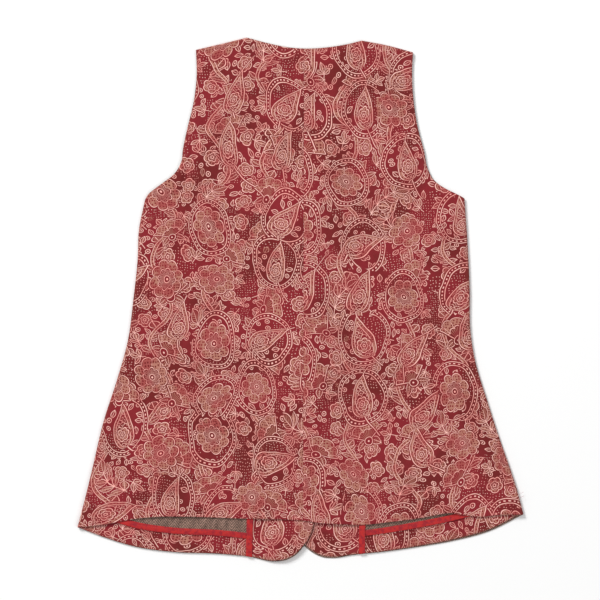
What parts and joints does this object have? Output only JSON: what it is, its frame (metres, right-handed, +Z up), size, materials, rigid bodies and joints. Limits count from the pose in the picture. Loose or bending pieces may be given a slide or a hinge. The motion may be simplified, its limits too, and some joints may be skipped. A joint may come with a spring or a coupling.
{
  "type": "waistcoat",
  "caption": "Sleeveless fitted waistcoat in crimson printed cotton, laid flat with its back up, with tape-bound facings showing at the flared hem",
  "frame": {"origin": "bottom centre of the bounding box, on the surface that the waistcoat lies on", "axes": "+X to the wearer's right, +Y from the hem to the neck, +Z up from the surface, out of the back"},
  "size_m": [0.6468, 0.7591, 0.0089],
  "materials": {
    "print_cloth": "crimson cotton printed all over in beige pink line, matt with a fine plain weave",
    "lining_cloth": "taupe twill lining with a slight sheen",
    "binding_tape": "scarlet folded binding with stitched edges",
    "button": "dark red, semi-matt"
  },
  "bodies": {
    "root": {"back_left": "print_cloth", "back_right": "print_cloth", "front_left": "print_cloth", "front_right": "print_cloth", "facing_hem_left": "print_cloth", "facing_hem_right": "print_cloth", "facing_front_left": "print_cloth", "facing_front_right": "print_cloth", "lining_left": "lining_cloth", "lining_right": "lining_cloth", "tape_hem_left": "binding_tape", "tape_hem_right": "binding_tape", "tape_front_left": "binding_tape", "tape_front_right": "binding_tape", "button_1": "button", "button_2": "button", "button_3": "button", "button_4": "button", "button_5": "button"}
  },
  "joints": []
}
